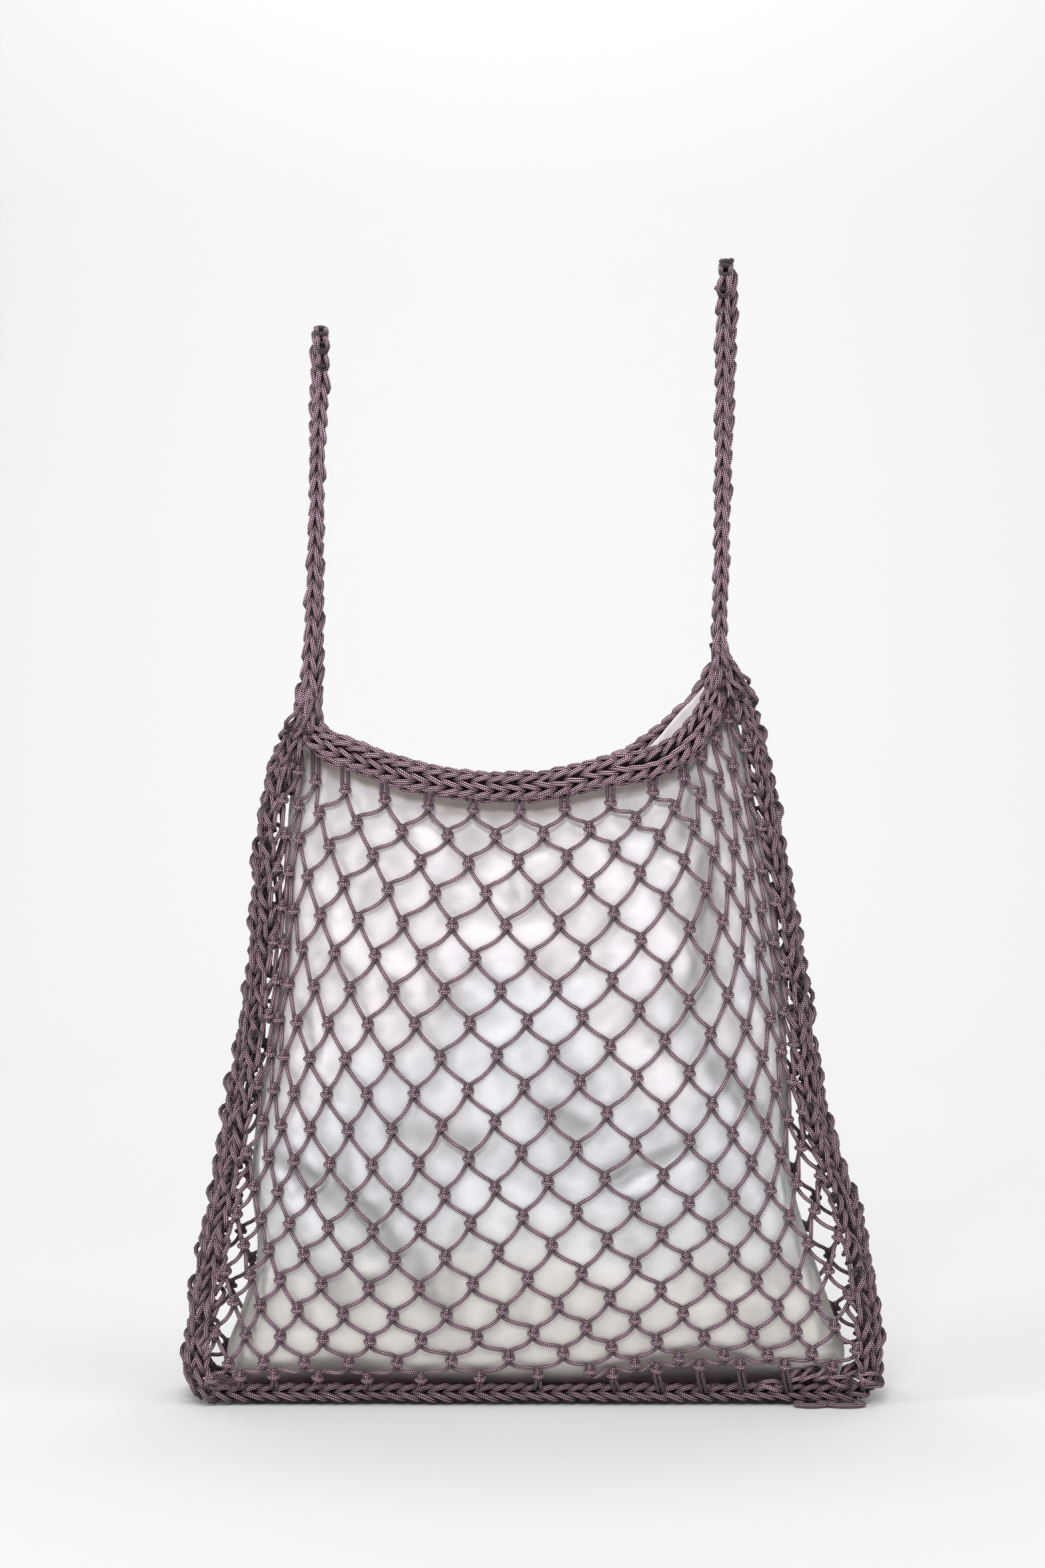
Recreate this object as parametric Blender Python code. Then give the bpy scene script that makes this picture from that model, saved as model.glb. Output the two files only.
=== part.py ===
"""String bag: a knotted net hung on chained bands, with a cloth lining and two strap loops.

World units are metres with +Z up. The bag stands on z = 0, its front towards -Y and its origin under the
middle of its base. Sizes in this file are in millimetres and become metres where a mesh is made.
"""
from collections import namedtuple
from math import atan2, ceil, cos, exp, hypot, pi, sin

import bmesh
import bpy

MM = 0.001
GAP = 0.5            # clearance between neighbouring pieces

CORD = 2.75          # the net's cord
KNOT_RISE = 1.6      # how far a knot stands out from its four bars
NET_COLUMNS = 10     # diamonds across a panel, at 1.4 times the real pitch
NET_ROWS = 14        # half diamonds from the mouth band down to the base

BASE_LENGTH = 364.0
BASE_DEPTH = 62.0
BASE_HEIGHT = 7.0
CURB_HEIGHT = 12.6   # the standing chain along the base's front and back
CURB_LINE = 28.0     # its distance from the bag's middle plane
BASE_FLOOR = 161.0   # half the length between the base's raised ends
POST_REACH = (-106, 74)   # the net's top knots hang by a short post between these places

BAND_RISE = 8.0      # half the mouth band's height
BAND_THICK = 5.0     # half its thickness
STRAP_WIDE = 4.8     # half the strap's width, seen from the front
STRAP_THICK = 3.5    # half its thickness
STITCH = 14.0        # one scallop on a strap
LINING = 1.5         # the pouch's wall

Side = namedtuple("Side", "z edge reach")
# The gusset's outer edge at each height, and how far it wraps round towards the net.
LEFT_SIDE = [
    Side(13, -181.5, 13), Side(22, -182, 13), Side(42, -180, 14), Side(80, -173.5, 14), Side(115, -166.5, 14),
    Side(155, -160.5, 14), Side(200, -152, 14), Side(245, -147, 14), Side(286, -144, 13), Side(312, -141, 11),
    Side(336, -134, 8), Side(349, -128.5, 5),
]
RIGHT_SIDE = [
    Side(13, 181.5, 10), Side(22, 182.4, 10), Side(44, 181.6, 10), Side(84, 175, 10), Side(114, 166, 9),
    Side(152, 153.5, 9), Side(210, 145, 9), Side(260, 136.4, 8), Side(312, 127, 8), Side(339, 122, 8),
    Side(362, 117, 8), Side(375, 111, 6.5),
]

Depth = namedtuple("Depth", "z gusset net pouch")
# Half depths at each height: the gusset's front edge, the net's crown and the pouch's crown.
DEPTHS = [
    Depth(8, 28, 28, 19.5), Depth(14, 28, 28, 24.2), Depth(40, 27, 35, 31), Depth(90, 25.5, 40, 36),
    Depth(160, 24, 40.5, 36.5), Depth(230, 23, 37, 33), Depth(285, 21.5, 30, 26), Depth(310, 21, 26, 18),
    Depth(325, 20.5, 24.5, 15.5), Depth(375, 19, 23, 14),
]

Rim = namedtuple("Rim", "x z")
# The mouth band's centre line, which turns up into a strap at both ends.
RIM = [
    Rim(-117, 362), Rim(-116, 352), Rim(-109, 343.5), Rim(-93, 336.5), Rim(-60, 325.5), Rim(-25, 320.5),
    Rim(8, 321.5), Rim(40, 329), Rim(66, 339), Rim(82, 353), Rim(93, 369), Rim(98, 384),
]
RIM_DEPTH = 24.0     # at the middle of the mouth
RIM_END_DEPTH = 22.0

Strap = namedtuple("Strap", "foot top front_foot front_top back_foot back_top")
# Heights of each loop's foot and crown, and the place across the bag of its two legs at foot and crown.
LEFT_STRAP = Strap(362, 561, -117, -109.5, -115, -114)
RIGHT_STRAP = Strap(384, 596, 98, 100, 99.5, 105.5)
CROWN_RADIUS = 15.0

NetRow = namedtuple("NetRow", "row x1 x2 x3 x4 x5 z0 z1 z2 z3 z4 z5 z6")
# Where the net hangs at six of its rows: the place across of five columns, and the height of those five
# and of the two edges.
NET = [
    NetRow(0, -106, -54, 17, 72, 92, 331, 321, 310, 309, 321, 341, 360),
    NetRow(4, -118, -67, 14, 81, 108, 259, 255, 250, 250, 265, 272, 279),
    NetRow(8, -123, -74, 11, 81, 118, 183, 180, 180, 184, 191, 198, 205),
    NetRow(12, -124, -70, 8, 81, 122, 114, 110, 108, 117, 121, 128, 135),
    NetRow(16, -132, -72, 13, 79, 127, 54, 51, 47, 53, 63, 66, 71),
    NetRow(19, -134, -72, 17, 76, 122, 18, 17.5, 17.5, 22, 26, 27, 29),
]
NET_COLUMN_AT = (-1.5, 0.5, 3, 6, 8.5, 10.5, 12.5)   # the columns those places belong to

Pouch = namedtuple("Pouch", "z left right")
# The pouch's side edges, seen from the front.
POUCH = [
    Pouch(8, -156, 160), Pouch(24, -160, 164), Pouch(46, -152, 157), Pouch(75, -144, 147), Pouch(114, -147, 136),
    Pouch(160, -142, 131), Pouch(220, -126, 127), Pouch(270, -123.5, 119), Pouch(312, -122, 110),
    Pouch(338, -118, 105), Pouch(372, -112, 98),
]

PLUM = (0.20, 0.125, 0.175)
COTTON = (0.84, 0.83, 0.84)


def clear_scene():
    for thing in list(bpy.data.objects):
        bpy.data.objects.remove(thing, do_unlink=True)


def smooth(xs, ys, x):
    """A smooth curve through the points (xs, ys), read at x, and held level beyond its ends."""
    if x <= xs[0]:
        return ys[0]
    if x >= xs[-1]:
        return ys[-1]
    last = len(xs) - 1
    i = max(k for k in range(last) if xs[k] <= x)

    def slope(k):
        low, high = max(k - 1, 0), min(k + 1, last)
        return (ys[high] - ys[low]) / (xs[high] - xs[low])

    span = xs[i + 1] - xs[i]
    t = (x - xs[i]) / span
    start, end = slope(i) * span, slope(i + 1) * span
    rise = ys[i + 1] - ys[i]
    return ys[i] + t * start + t * t * (3 * rise - 2 * start - end) + t ** 3 * (start + end - 2 * rise)


def read(table, name, at, key="z"):
    """The column called name of a table, read smoothly at a value of its key column."""
    return smooth([getattr(row, key) for row in table], [getattr(row, name) for row in table], at)


def add_node(name, colour, points, faces):
    """One closed mesh from points in millimetres, with its own material."""
    mesh = bpy.data.meshes.new(name)
    shape = bmesh.new()
    verts = [shape.verts.new([value * MM for value in point]) for point in points]
    for face in faces:
        shape.faces.new([verts[k] for k in face])
    bmesh.ops.triangulate(shape, faces=shape.faces[:])
    bmesh.ops.recalc_face_normals(shape, faces=shape.faces[:])
    if shape.calc_volume(signed=True) < 0:
        bmesh.ops.reverse_faces(shape, faces=shape.faces[:])
    shape.to_mesh(mesh)
    shape.free()
    node = bpy.data.objects.new(name, mesh)
    bpy.context.scene.collection.objects.link(node)
    material = bpy.data.materials.new(name)
    material.use_nodes = True
    surface = material.node_tree.nodes["Principled BSDF"]
    surface.inputs["Base Color"].default_value = (*colour, 1)
    surface.inputs["Roughness"].default_value = 0.85
    surface.inputs["Metallic"].default_value = 0
    mesh.materials.append(material)
    return node


def loft(rings):
    """Points and faces of a solid that runs through rings of equal length, closed at both ends."""
    count = len(rings[0])
    points = [point for ring in rings for point in ring]
    faces = [tuple(range(count)), tuple(range(len(points) - count, len(points)))]
    for r in range(len(rings) - 1):
        for k in range(count):
            after = (k + 1) % count
            faces.append((r * count + k, r * count + after, (r + 1) * count + after, (r + 1) * count + k))
    return points, faces


def side_of(z, sign):
    table = RIGHT_SIDE if sign > 0 else LEFT_SIDE
    return read(table, "edge", z), read(table, "reach", z)


def net_depth(x, z):
    """How far in front of the middle plane the net hangs."""
    left, left_reach = side_of(z, -1)
    right, right_reach = side_of(z, 1)
    left, right = left + left_reach, right - right_reach
    across = min(1, abs(2 * x - left - right) / (right - left))
    edge = read(DEPTHS, "gusset", z)
    return edge + (read(DEPTHS, "net", z) - edge) * (1 - across ** 2.4)


def rim_centre(x):
    """Height of the mouth band's centre line between the places where it turns up."""
    return read(RIM[2:], "z", x, "x")


def band_half_height(x):
    """Half the band's height, which narrows to the strap's width at both ends."""
    ends = min(abs(x - RIM[0].x), abs(x - RIM[-1].x))
    return STRAP_WIDE + (BAND_RISE - STRAP_WIDE) * min(1, ends / 26)


def net_place(column, row):
    """Where the knot at this column and row of the real net hangs, seen from the front."""
    rows = [line.row for line in NET]
    heights = []
    places = []
    for line in NET:
        z = (line.z0, line.z1, line.z2, line.z3, line.z4, line.z5, line.z6)
        left, left_reach = side_of(line.z0, -1)
        right, right_reach = side_of(line.z6, 1)
        inset = GAP + CORD / 2 + 0.4
        x = (left + left_reach + inset, line.x1, line.x2, line.x3, line.x4, line.x5, right - right_reach - inset)
        heights.append(smooth(NET_COLUMN_AT, z, column))
        places.append(smooth(NET_COLUMN_AT, x, column))
    z = smooth(rows, heights, row)
    x = smooth(rows, places, row)
    if column in (NET_COLUMN_AT[0], NET_COLUMN_AT[-1]):
        sign = -1 if column < 0 else 1
        edge, reach = side_of(z, sign)
        x = edge - sign * (reach + GAP + CORD / 2 + 0.4)
    return x, z


def net_graph():
    """The net's knots and the pairs of them that a bar of cord joins, seen from the front."""
    knots = {}
    column_step = (NET_COLUMN_AT[-1] - NET_COLUMN_AT[0]) / NET_COLUMNS
    row_step = NET[-1].row / NET_ROWS
    for j in range(NET_ROWS + 1):
        for i in range(j % 2, 2 * NET_COLUMNS + 1, 2):
            knots[i, j] = net_place(NET_COLUMN_AT[0] + i * column_step / 2, j * row_step)
    bars = [((i, j), (i + side, j + 1)) for i, j in knots for side in (-1, 1) if (i + side, j + 1) in knots]
    for (i, j), (x, z) in list(knots.items()):
        if j == 0 and POST_REACH[0] < x < POST_REACH[1]:
            slope = (rim_centre(x + 1) - rim_centre(x - 1)) / 2
            knots[i, -1] = x, rim_centre(x) - band_half_height(x) * hypot(1, slope) - GAP - 0.4
        if j == NET_ROWS and 0 < i < 2 * NET_COLUMNS:
            knots[i, NET_ROWS + 1] = x, CURB_HEIGHT + GAP
    bars += [((i, -1), (i, 0)) for i, j in knots if j == -1]
    bars += [((i, NET_ROWS), (i, NET_ROWS + 1)) for i, j in knots if j == NET_ROWS + 1]
    return knots, bars


def net(name, sign):
    """One net panel: bars of square section that meet at raised knots. sign is -1 at the front."""
    knots, bars = net_graph()
    half = CORD / 2
    around = {key: [] for key in knots}
    for a, b in bars:
        around[a].append(b)
        around[b].append(a)
    points, faces, corners = [], [], {}

    def layer_pair(x, z):
        """Adds the outer and inner point at one place of the panel."""
        depth = net_depth(x, z)
        points.append((x, sign * (depth + half), z))
        points.append((x, sign * (depth - half), z))
        return len(points) - 2

    for key, others in around.items():
        x, z = knots[key]
        ways = []
        for other in others:
            dx, dz = knots[other][0] - x, knots[other][1] - z
            ways.append((dx / hypot(dx, dz), dz / hypot(dx, dz), other))
        if len(ways) == 1:
            dx, dz, other = ways[0]
            right, left = layer_pair(x + dz * half, z - dx * half), layer_pair(x - dz * half, z + dx * half)
            corners[key, other] = right, left
            faces.append((right, right + 1, left + 1, left))
            continue
        ways.sort(key=lambda way: -atan2(way[1], way[0]))
        ring = []
        for k, (dx, dz, other) in enumerate(ways):
            next_x, next_z, after = ways[(k + 1) % len(ways)]
            turn = (atan2(dz, dx) - atan2(next_z, next_x)) % (2 * pi)
            toward = atan2(dz, dx) - turn / 2
            reach = half / max(0.3, sin(turn / 2))
            ring.append(layer_pair(x + cos(toward) * reach, z + sin(toward) * reach))
        for k, (dx, dz, other) in enumerate(ways):
            corners[key, other] = ring[k], ring[k - 1]
        if len(ring) > 2:
            points.append((x, sign * (net_depth(x, z) + half + KNOT_RISE), z))
            top = len(points) - 1
            for k, corner in enumerate(ring):
                faces.append((corner, ring[(k + 1) % len(ring)], top))
            faces.append(tuple(corner + 1 for corner in ring))
    for a, b in bars:
        right, left = corners[a, b]
        far_right, far_left = corners[b, a]
        faces.append((right, left, far_right, far_left))
        faces.append((right + 1, left + 1, far_right + 1, far_left + 1))
        faces.append((left, left + 1, far_right + 1, far_right))
        faces.append((right, right + 1, far_left + 1, far_left))
    return add_node(name, PLUM, points, faces)


def gusset(name, sign):
    """A chained strip bent round the bag's side, with five ridges of chain on its outside."""
    table = RIGHT_SIDE if sign > 0 else LEFT_SIDE
    bottom, top = table[0].z, table[-1].z
    ring_count = 26
    rings = []
    for r in range(ring_count + 1):
        z = bottom + (top - bottom) * r / ring_count
        edge, reach = side_of(z, sign)
        half_depth = read(DEPTHS, "gusset", z)
        thick = 5.2 if z < top - 30 else 5.2 - 1.6 * (z - top + 30) / 30
        outer, inner = [], []
        for k in range(11):
            lift = (1.0 if k % 2 else 0.0) + (0.4 if (k + r) % 2 else 0)
            outer.append(gusset_point(k / 5 - 1, edge, reach, half_depth, thick - 1.4 + lift, sign, z))
        for k in range(4, -1, -1):
            inner.append(gusset_point(k / 2 - 1, edge, reach, half_depth, 0, sign, z))
        rings.append(outer + inner)
    return add_node(name, PLUM, *loft(rings))


def gusset_point(across, edge, reach, half_depth, lift, sign, z):
    """A point of the gusset's section, lift outside its inner face. across runs from -1 in front to 1."""
    angle = across * pi / 2
    inner_edge = edge - sign * 5.2
    out_x, out_y = cos(angle) * half_depth, sin(angle) * reach
    length = hypot(out_x, out_y)
    x = inner_edge - sign * reach * (1 - cos(angle)) + sign * (lift * out_x / length + 5.2 * (1 - cos(angle)))
    y = (half_depth - 2.6) * sin(angle) + lift * sin(angle) * abs(sin(angle))
    return x, y, z


def base():
    """The chained strip under the bag, flat below, with a standing chain along front and back."""
    rings = []
    floor_count = 26
    places = [BASE_FLOOR * (2 * r / floor_count - 1) for r in range(floor_count + 1)]
    end_places = [BASE_FLOOR + 3, BASE_FLOOR + 12, BASE_LENGTH / 2]
    places = [-x for x in reversed(end_places)] + places + end_places
    for r, x in enumerate(places):
        from_end = BASE_LENGTH / 2 - abs(x)
        width = 1 - 0.2 * max(0, 1 - from_end / 12) ** 2
        curb = CURB_HEIGHT
        shoulder = curb - 1.4
        floor = BASE_HEIGHT if abs(x) <= BASE_FLOOR else shoulder
        ridge = floor - (1.0 if r % 2 else 0.0)
        half = BASE_DEPTH / 2
        section = [
            (-half + 1, 0), (-half, shoulder / 2), (-half + 0.6, shoulder), (-CURB_LINE, curb),
            (-CURB_LINE + 3.2, shoulder), (-CURB_LINE + 4.4, ridge), (0, floor),
            (CURB_LINE - 4.4, ridge), (CURB_LINE - 3.2, shoulder), (CURB_LINE, curb),
            (half - 0.6, shoulder), (half, shoulder / 2), (half - 1, 0),
        ]
        rings.append([(x, y * width, z) for y, z in section])
    return add_node("base", PLUM, *loft(rings))


def along(points, count):
    """Evenly spaced points on a smooth curve through the given ones."""
    marks = [0]
    for p, q in zip(points, points[1:]):
        marks.append(marks[-1] + sum((a - b) ** 2 for a, b in zip(p, q)) ** 0.5)
    columns = list(zip(*points))
    return [tuple(smooth(marks, column, marks[-1] * k / count) for column in columns) for k in range(count + 1)]


def rim(name, sign):
    """The chained band along the mouth, front (sign -1) or back, with three rows of slanted stitches."""
    count = 34
    spots = along([(line.x, line.z) for line in RIM], count)
    rings = []
    for k, (x, z) in enumerate(spots):
        before, after = spots[max(k - 1, 0)], spots[min(k + 1, count)]
        dx, dz = after[0] - before[0], after[1] - before[1]
        length = hypot(dx, dz)
        dx, dz = dx / length, dz / length
        if k in (0, count):
            dx, dz = 0, (-1 if k == 0 else 1)
        ends = min(k, count - k) / 5
        taper = min(1, ends)
        tall = STRAP_WIDE + (BAND_RISE - STRAP_WIDE) * taper
        thick = STRAP_THICK + (BAND_THICK - STRAP_THICK) * taper
        depth = RIM_END_DEPTH + (RIM_DEPTH - RIM_END_DEPTH) * min(1, min(k, count - k) / 10)
        grain = 0.7 if k % 2 else -0.2
        section = [
            (-tall, 0), (-tall * 0.8, thick * 0.75), (-tall * 0.3, thick - 0.4 + grain * taper),
            (tall * 0.3, thick - 0.4 - grain * taper), (tall * 0.8, thick * 0.75), (tall, 0),
            (tall * 0.6, -thick), (-tall * 0.6, -thick),
        ]
        rings.append([(x - dz * up, sign * (depth + out), z + dx * up) for up, out in section])
    return add_node(name, PLUM, *loft(rings))


def strap(name, sizes):
    """A chained loop from the bag's front corner over to its back corner, scalloped stitch by stitch."""
    crown = sizes.top - STRAP_THICK - CROWN_RADIUS
    route = []
    foot = sizes.foot + GAP
    for part in (0, 0.04, 0.35, 0.7, 1):
        y = -RIM_END_DEPTH + (RIM_END_DEPTH - CROWN_RADIUS) * part
        x = sizes.front_foot + (sizes.front_top - sizes.front_foot) * part
        route.append((x, y, foot + (crown - foot) * part))
    for step in range(1, 6):
        angle = pi * step / 6
        x = sizes.front_top + (sizes.back_top - sizes.front_top) * step / 6
        route.append((x, -CROWN_RADIUS * cos(angle), crown + CROWN_RADIUS * sin(angle)))
    for part in (1, 0.7, 0.35, 0.04, 0):
        y = RIM_END_DEPTH - (RIM_END_DEPTH - CROWN_RADIUS) * part
        x = sizes.back_foot + (sizes.back_top - sizes.back_foot) * part
        route.append((x, y, foot + (crown - foot) * part))
    length = 2 * (crown - foot) + pi * CROWN_RADIUS
    count = 2 * ceil(length / STITCH)
    spots = along(route, count)
    rings = []
    for k, (x, y, z) in enumerate(spots):
        before, after = spots[max(k - 1, 0)], spots[min(k + 1, count)]
        dy, dz = after[1] - before[1], after[2] - before[2]
        length = hypot(dy, dz)
        dy, dz = dy / length, dz / length
        if k in (0, count):
            dy, dz = 0, (1 if k == 0 else -1)
        full = 1 if k % 2 else 0.9
        wide, thick = STRAP_WIDE * full, STRAP_THICK * full
        ring = []
        for side, out in ((-1, 0.5), (0, 1), (1, 0.5), (1, -0.5), (0, -1), (-1, -0.5)):
            ring.append((x + side * wide, y - dz * out * thick, z + dy * out * thick))
        rings.append(ring)
    return add_node(name, PLUM, *loft(rings))


def pouch_floor(x):
    """Height of the pouch's lower edge, which lifts a little off the base on the right."""
    return 8.6 + 6 * exp(-((x - 85) / 34) ** 2)


def pouch_ring(part, inset, count=30):
    """One ring of the pouch at a share of its height, inset from its outer face."""
    ring = []
    level = pouch_floor(-60) + part * (rim_centre(0) - pouch_floor(-60))
    left_level = level + part * (RIM[2].z - rim_centre(0))
    right_level = level + part * (RIM[-2].z - rim_centre(0))
    left = read(POUCH, "left", left_level) + inset
    right = read(POUCH, "right", right_level) - inset
    middle, half = (left + right) / 2, (right - left) / 2
    for k in range(count):
        angle = 2 * pi * k / count
        share = cos(angle)
        x = middle + half * share
        mouth = read(RIM[2:-1], "z", x, "x") + 3
        z = pouch_floor(x) + part * (mouth - pouch_floor(x))
        depth = read(DEPTHS, "pouch", min(z, level + 14)) - inset
        fold = 1 + 0.025 * sin(9 * share + 5 * part) * min(1, 2 * part) * (1 - part)
        y = -depth * fold * (1 - abs(share) ** 2.6) ** 0.6 * (1 if angle < pi else -1)
        ring.append((x, y, z))
    return ring


def pouch():
    """The lining: one sheet of cotton, closed at the bottom and open between the two mouth bands."""
    shares = [0, 0.025, 0.1, 0.22, 0.36, 0.5, 0.64, 0.77, 0.88, 0.95, 1]
    outer = [pouch_ring(part, 0) for part in shares]
    inner = [pouch_ring(part, LINING) for part in shares]
    inner[0] = [(x, y, z + LINING) for x, y, z in inner[0]]
    inner[1] = [(x, y, z + LINING / 2) for x, y, z in inner[1]]
    rings = outer + inner[::-1]
    return add_node("pouch", COTTON, *loft(rings))


def main():
    clear_scene()
    base()
    gusset("gusset_left", -1)
    gusset("gusset_right", 1)
    net("net_front", -1)
    net("net_back", 1)
    rim("rim_front", -1)
    rim("rim_back", 1)
    strap("strap_left", LEFT_STRAP)
    strap("strap_right", RIGHT_STRAP)
    pouch()


main()
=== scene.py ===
"""Looks of a string bag: a knotted net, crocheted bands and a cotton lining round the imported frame.

Everything is worked out in millimetres, with +Z up and the bag's front towards -Y, and becomes
metres where a mesh is made.
"""

from collections import namedtuple
from math import cos, exp, hypot, pi, radians, sin
from random import Random

import bpy
from mathutils import Euler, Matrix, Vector, noise


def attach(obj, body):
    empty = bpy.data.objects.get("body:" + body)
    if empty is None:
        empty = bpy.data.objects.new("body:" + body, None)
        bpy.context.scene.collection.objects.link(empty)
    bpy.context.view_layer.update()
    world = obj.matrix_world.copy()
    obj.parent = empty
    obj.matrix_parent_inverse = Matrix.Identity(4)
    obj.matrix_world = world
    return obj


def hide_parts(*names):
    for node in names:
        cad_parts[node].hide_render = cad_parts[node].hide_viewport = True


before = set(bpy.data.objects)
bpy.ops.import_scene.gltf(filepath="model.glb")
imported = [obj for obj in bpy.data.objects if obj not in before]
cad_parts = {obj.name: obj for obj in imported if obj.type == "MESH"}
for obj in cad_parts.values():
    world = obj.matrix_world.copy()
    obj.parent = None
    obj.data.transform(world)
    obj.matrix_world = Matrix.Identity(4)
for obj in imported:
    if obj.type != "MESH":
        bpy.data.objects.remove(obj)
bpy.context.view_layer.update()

MM = 0.001

# Sizes that part.py gives to the same pieces.
CORD = 2.75
GAP = 0.5                # between neighbours
BASE_LENGTH = 364.0
CURB_LINE = 28.0         # depth of the base's standing chains
BAND_RISE = 8.0          # half the height of a mouth band
RIM_DEPTH = 24.0         # depth of a mouth band
RIM_END_DEPTH = 22.0     # the same where it turns up into a strap
STRAP_THICK = 3.5
CROWN_RADIUS = 15.0      # of a strap's top

NET_CORD = 2.25          # the real cord, a little thinner than its solid
STRAND = 2.5             # a loose strand on a gusset
EDGE_INSET = GAP + CORD / 2 + 0.4    # from a gusset to the net's outermost knots

# The plain cords inside the chains, so that nobody sees through between the stitches. They keep
# almost no light, so they are painted near-black as shade between the stitches.
BAND_CORE = 4.2
STRAP_CORE = 4.0
GUSSET_CORE = 2.2
BASE_CORE = 3.6

Chain = namedtuple("Chain", "pitch seed sway")
# How each piece's rows are worked: the step from stitch to stitch, a seed, and the sway in degrees.
BAND_CHAIN = Chain(8.0, 31, 4.0)
STRAP_CHAIN = Chain(9.2, 41, 4.0)
GUSSET_CHAIN = Chain(8.2, 57, 19.0)
SHOULDER_CHAIN = Chain(7.2, 91, 14.0)
BASE_CHAIN = Chain(8.0, 71, 2.5)
FLOOR_CHAIN = Chain(9.0, 72, 2.0)
HEAP_CHAIN = Chain(6.5, 73, 32.0)

Side = namedtuple("Side", "z edge reach")
# The gusset's outer edge at each height, and how far it wraps round towards the net.
LEFT_SIDE = [
    Side(13, -181.5, 13), Side(22, -182, 13), Side(42, -180, 14), Side(80, -173.5, 14),
    Side(115, -166.5, 14), Side(155, -160.5, 14), Side(200, -152, 13), Side(245, -147, 11),
    Side(286, -144, 9.5), Side(312, -141, 8.5), Side(336, -134, 7), Side(349, -128.5, 5),
]
RIGHT_SIDE = [
    Side(13, 181.5, 11), Side(22, 182.4, 12), Side(44, 181.6, 13), Side(84, 175, 13.5),
    Side(114, 166, 13), Side(152, 153.5, 11), Side(210, 145, 9.5), Side(260, 136.4, 8),
    Side(312, 127, 8), Side(339, 122, 8), Side(362, 115.5, 8), Side(375, 109, 6.5),
]
BACK_REACH = 0.4         # the gusset's back half stays behind its front half, seen from the front

Depth = namedtuple("Depth", "z gusset net pouch")
# Half depths at each height: the gusset's front edge, the net's crown and the lining's crown.
DEPTHS = [
    Depth(8, 28, 28, 19.5), Depth(14, 28, 28, 24.2), Depth(40, 27, 35, 31), Depth(90, 25.5, 40, 36),
    Depth(160, 24, 40.5, 36.5), Depth(230, 23, 37, 33), Depth(285, 21.5, 30, 26),
    Depth(310, 21, 26, 18), Depth(325, 20.5, 24.5, 15.5), Depth(375, 19, 23, 14),
]

Rim = namedtuple("Rim", "x z")
# The mouth band's centre line, which turns up into a strap at both ends.
RIM = [
    Rim(-117, 362), Rim(-116, 352), Rim(-109, 343.5), Rim(-93, 336.5), Rim(-60, 325.5),
    Rim(-25, 320.5), Rim(8, 321.5), Rim(40, 329), Rim(66, 339), Rim(82, 353), Rim(93, 369),
    Rim(98, 384),
]

Strap = namedtuple("Strap", "foot top front_foot front_top back_foot back_top")
LEFT_STRAP = Strap(362, 561, -117, -109.5, -115, -114)
RIGHT_STRAP = Strap(384, 596, 98, 100, 99.5, 105.5)

NetRow = namedtuple("NetRow", "row x1 x2 x3 x4 x5 z0 z1 z2 z3 z4 z5 z6")
# Where the net hangs at nine of its rows: the place across of five columns, and the height of those
# five and of the two edges.
NET = [
    NetRow(0, -106, -54, 17, 72, 92, 331, 321, 310, 309, 321, 341, 360),
    NetRow(2, -114.5, -58, 18, 76, 101.5, 296, 291.5, 281.5, 284, 297, 306, 320),
    NetRow(4, -118, -67, 14, 81, 108, 259, 255, 250, 250, 265, 272, 279),
    NetRow(8, -123, -74, 11, 81, 118, 183, 180, 180, 184, 191, 198, 205),
    NetRow(12, -124, -70, 8, 81, 122, 114, 110, 108, 117, 121, 128, 135),
    NetRow(16, -132, -72, 13, 79, 127, 54, 51, 47, 53, 63, 66, 71),
    NetRow(18, -129, -70, 16, 76.5, 126, 21, 22, 22, 27.5, 35, 37.5, 42),
    NetRow(19, -134, -72, 17, 76, 122, 13, 15, 13, 16.5, 24.5, 26, 28),
    NetRow(20, -134, -72, 17, 75.5, 119, 8, 8, 8, 13, 19.5, 20.5, 19),
]
NET_COLUMN_AT = (-1.5, 0.5, 3, 6, 8.5, 10.5, 12.5)
LAST_FULL_ROW = 19       # below it, the right part has one more row, whose knots stand on posts
FIRST_POST = 7           # the first column of that row
FIRST_COLUMN = -1.5
LAST_COLUMN = 12.5

Pouch = namedtuple("Pouch", "z left right")
# The lining's side edges, seen from the front.
POUCH = [
    Pouch(8, -156, 160), Pouch(24, -160, 164), Pouch(46, -152, 157), Pouch(75, -144, 147),
    Pouch(114, -147, 136), Pouch(160, -142, 134), Pouch(220, -131, 131.5), Pouch(270, -129, 124.5),
    Pouch(312, -127, 116.5), Pouch(338, -122, 111.5), Pouch(372, -113, 102),
]

Knot = namedtuple("Knot", "across out up")
# A sheet bend, from the bar at its lower left to the one at its lower right.
WRAP = [
    Knot(-0.9, -0.3, -3.2), Knot(-0.4, 0.7, -1.5), Knot(-0.2, 1.6, 1.5), Knot(0.1, 0.7, 3.1),
    Knot(0.8, -1.1, 1.9), Knot(2.0, -0.8, 0.5), Knot(2.1, 1.2, -0.5), Knot(0, 2.7, -0.6),
    Knot(-2.1, 1.3, -0.1), Knot(-2.0, -0.8, 0.1), Knot(-0.2, -1.3, -1.3), Knot(0.9, -0.4, -3.2),
]
# The loop that it grips, from the bar at its upper left to the one at its upper right.
BIGHT = [
    Knot(-1.5, 0, 3.4), Knot(-1.1, 0.1, 1.3), Knot(0, 0, -0.9), Knot(1.1, 0.1, 1.3),
    Knot(1.5, 0, 3.4),
]
KNOT_SEED = 11
KNOT_SIZE = 1.06
KNOT_SWAY = 9.0          # degrees
# Painted light on a knot's cords: painted shade in its middle, lighter further out.
KNOT_LIGHT = 0.5         # in the middle of a knot
KNOT_LIGHT_RISE = 0.22   # for each millimetre further out

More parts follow.
